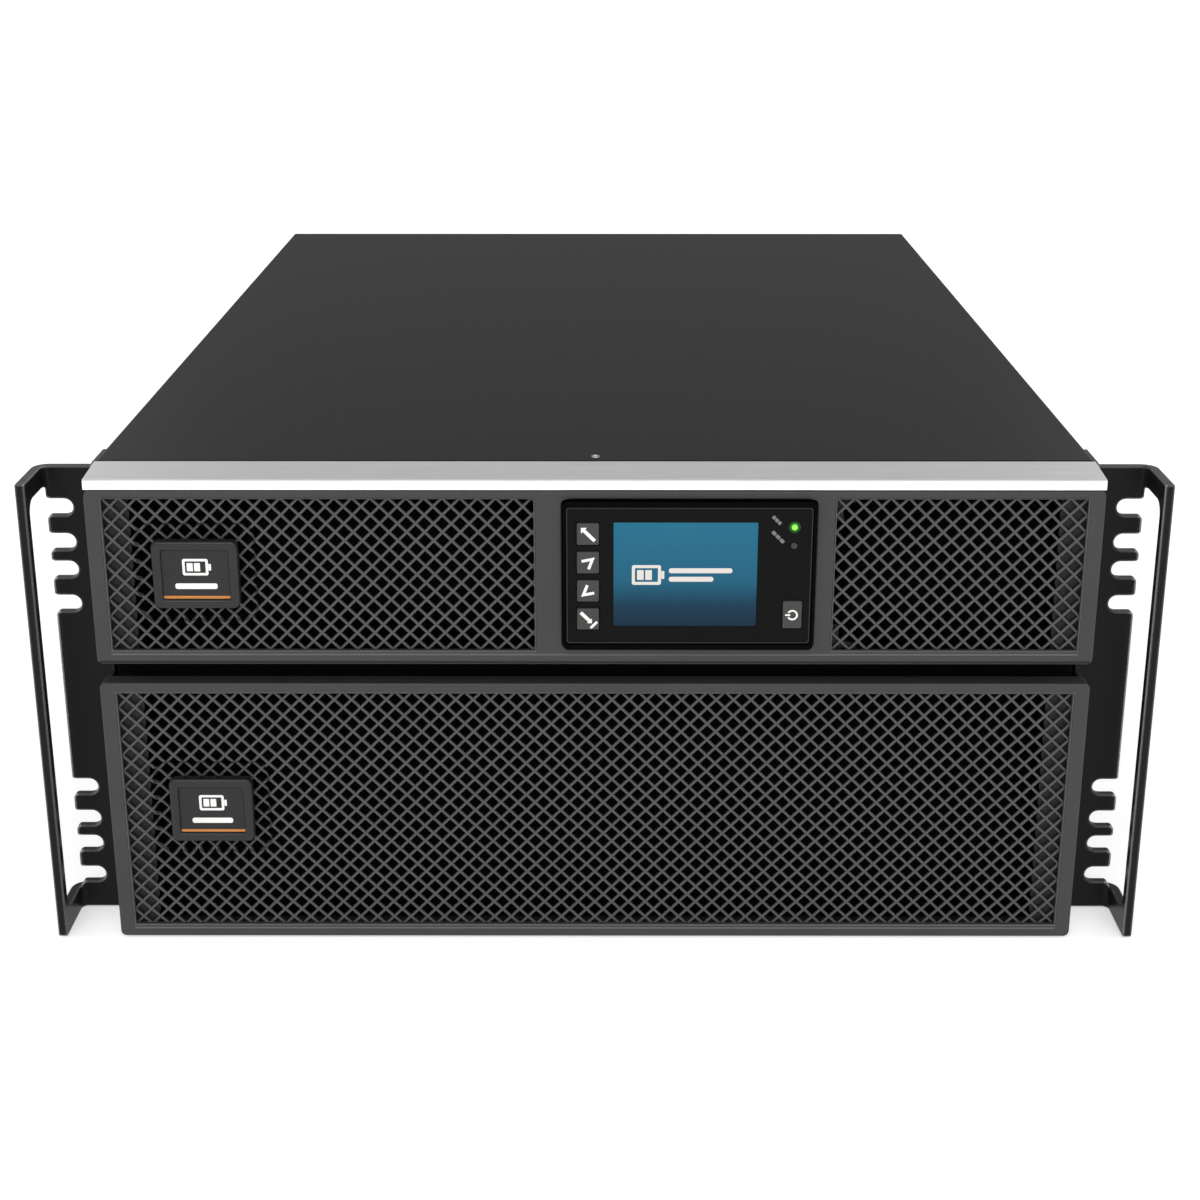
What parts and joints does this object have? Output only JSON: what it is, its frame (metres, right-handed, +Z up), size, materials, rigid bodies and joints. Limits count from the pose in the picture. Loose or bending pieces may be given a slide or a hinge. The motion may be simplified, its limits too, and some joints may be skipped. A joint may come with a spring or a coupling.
{
  "type": "rackmount uninterruptible power supply",
  "caption": "Rack-mounted power backup unit: meshed bezels, front display, handled ears, slide-out battery packs, rear fans and outlets.",
  "frame": {"origin": "middle of the footprint, on the surface the base rests on", "axes": "+X to the right seen from the front, +Y from the bezels towards the rear panel, +Z up"},
  "size_m": [0.487, 0.633, 0.217],
  "materials": {
    "black_steel": "fine satin black powder coat",
    "ear_steel": "satin black paint, edges slightly worn",
    "cover_steel": "fine-textured dark grey powder coat",
    "zinc_steel": "zinc-plated sheet",
    "trim_aluminium": "brushed, clear anodised",
    "heatsink_aluminium": "plain extrusion",
    "bezel_grey": "fine moulded texture",
    "mesh_grey": "fine moulded texture",
    "badge_grey": "satin",
    "gloss_black": "gloss",
    "screen_glass": "lit blue screen behind clear glass",
    "key_grey": "fine grain, white glyphs",
    "green_lens": "lit green lens",
    "grey_lens": "unlit lens",
    "black_plastic": "moulded",
    "battery_case": "moulded case, fine grain",
    "circuit_board": "solder mask",
    "copper_winding": "enamelled wire"
  },
  "bodies": {
    "chassis": {"front_plate": "black_steel", "rear_panel_upper": "black_steel", "rear_panel_lower": "black_steel", "distribution_box": "black_steel", "terminal_cover": "black_steel", "ear_left": "ear_steel", "ear_right": "ear_steel", "top_cover": "cover_steel", "chassis_tray": "zinc_steel", "mid_deck": "zinc_steel", "bay_divider": "zinc_steel", "fan_guard_left": "zinc_steel", "fan_guard_right": "zinc_steel", "heatsink_left": "heatsink_aluminium", "heatsink_right": "heatsink_aluminium", "display_housing": "gloss_black", "display_fascia": "gloss_black", "display_screen": "screen_glass", "run_light": "green_lens", "alarm_light": "grey_lens", "battery_socket_left": "black_plastic", "battery_socket_right": "black_plastic", "capacitor_front": "black_plastic", "capacitor_rear": "black_plastic", "fan_frame_left": "black_plastic", "fan_frame_right": "black_plastic", "port_panel": "black_plastic", "outlet_block": "black_plastic", "display_board": "circuit_board", "power_board": "circuit_board", "control_board": "circuit_board", "choke_front": "copper_winding", "choke_rear": "copper_winding"},
    "upper_bezel": {"upper_bezel_frame": "bezel_grey", "upper_grille_left": "mesh_grey", "upper_grille_right": "mesh_grey", "trim_strip": "trim_aluminium"},
    "upper_badge_tile": {"upper_badge": "badge_grey"},
    "lower_bezel": {"lower_bezel_frame": "bezel_grey", "lower_grille": "mesh_grey"},
    "lower_badge_tile": {"lower_badge": "badge_grey"},
    "battery_bay_door": {"battery_door": "black_steel"},
    "pack_left": {"battery_tray_left": "zinc_steel", "battery_block_left": "battery_case", "pack_handle_left": "black_plastic", "battery_plug_left": "black_plastic"},
    "pack_right": {"battery_tray_right": "zinc_steel", "battery_block_right": "battery_case", "pack_handle_right": "black_plastic", "battery_plug_right": "black_plastic"},
    "fan_left": {"fan_rotor_left": "black_plastic"},
    "fan_right": {"fan_rotor_right": "black_plastic"},
    "input_breaker": {"input_breaker_toggle": "black_plastic"},
    "output_breaker": {"output_breaker_toggle": "black_plastic"},
    "comm_module": {"comm_card": "black_steel"},
    "escape_key": {"escape_button": "key_grey"},
    "up_key": {"up_button": "key_grey"},
    "down_key": {"down_button": "key_grey"},
    "enter_key": {"enter_button": "key_grey"},
    "power_key": {"power_button": "key_grey"}
  },
  "joints": [
    {"name": "upper_bezel_pull", "type": "slide", "parent": "chassis", "child": "upper_bezel", "axis": [0, -1, 0], "range_m": [0, 0.06]},
    {"name": "upper_badge_turn", "type": "hinge", "parent": "upper_bezel", "child": "upper_badge_tile", "pos_m": [-0.1698, -0.3135, 0.1733], "axis": [0, -1, 0], "range_deg": [0, 90]},
    {"name": "lower_bezel_pull", "type": "slide", "parent": "chassis", "child": "lower_bezel", "axis": [0, -1, 0], "range_m": [0, 0.4001]},
    {"name": "lower_badge_turn", "type": "hinge", "parent": "lower_bezel", "child": "lower_badge_tile", "pos_m": [-0.1698, -0.3135, 0.0632], "axis": [0, -1, 0], "range_deg": [0, 90]},
    {"name": "battery_door_pull", "type": "slide", "parent": "chassis", "child": "battery_bay_door", "axis": [0, -1, 0], "range_m": [0, 0.3501]},
    {"name": "pack_left_slide", "type": "slide", "parent": "chassis", "child": "pack_left", "axis": [0, -1, 0], "range_m": [0, 0.3]},
    {"name": "pack_right_slide", "type": "slide", "parent": "chassis", "child": "pack_right", "axis": [0, -1, 0], "range_m": [0, 0.3]},
    {"name": "escape_key_press", "type": "slide", "parent": "chassis", "child": "escape_key", "axis": [0, 1, 0], "range_m": [0, 0.0008], "stiffness_N_per_m": 600},
    {"name": "up_key_press", "type": "slide", "parent": "chassis", "child": "up_key", "axis": [0, 1, 0], "range_m": [0, 0.0008], "stiffness_N_per_m": 600},
    {"name": "down_key_press", "type": "slide", "parent": "chassis", "child": "down_key", "axis": [0, 1, 0], "range_m": [0, 0.0008], "stiffness_N_per_m": 600},
    {"name": "enter_key_press", "type": "slide", "parent": "chassis", "child": "enter_key", "axis": [0, 1, 0], "range_m": [0, 0.0008], "stiffness_N_per_m": 600},
    {"name": "power_key_press", "type": "slide", "parent": "chassis", "child": "power_key", "axis": [0, 1, 0], "range_m": [0, 0.0008], "stiffness_N_per_m": 600},
    {"name": "fan_left_spin", "type": "hinge", "parent": "chassis", "child": "fan_left", "pos_m": [-0.15, 0.2965, 0.172], "axis": [0, 1, 0], "continuous": true},
    {"name": "fan_right_spin", "type": "hinge", "parent": "chassis", "child": "fan_right", "pos_m": [-0.058, 0.2965, 0.172], "axis": [0, 1, 0], "continuous": true},
    {"name": "input_breaker_rock", "type": "hinge", "parent": "chassis", "child": "input_breaker", "pos_m": [0.02, 0.3075, 0.08], "axis": [1, 0, 0], "range_deg": [-50, 0]},
    {"name": "output_breaker_rock", "type": "hinge", "parent": "chassis", "child": "output_breaker", "pos_m": [0.062, 0.3075, 0.08], "axis": [1, 0, 0], "range_deg": [-50, 0]},
    {"name": "comm_module_slide", "type": "slide", "parent": "chassis", "child": "comm_module", "axis": [0, 1, 0], "range_m": [0, 0.12]}
  ],
  "couplings": [
    {"joint": "pack_right_slide", "follows": "pack_left_slide", "ratio": 1},
    {"joint": "battery_door_pull", "follows": "pack_left_slide", "ratio": 1.1667},
    {"joint": "lower_bezel_pull", "follows": "pack_left_slide", "ratio": 1.3333}
  ]
}
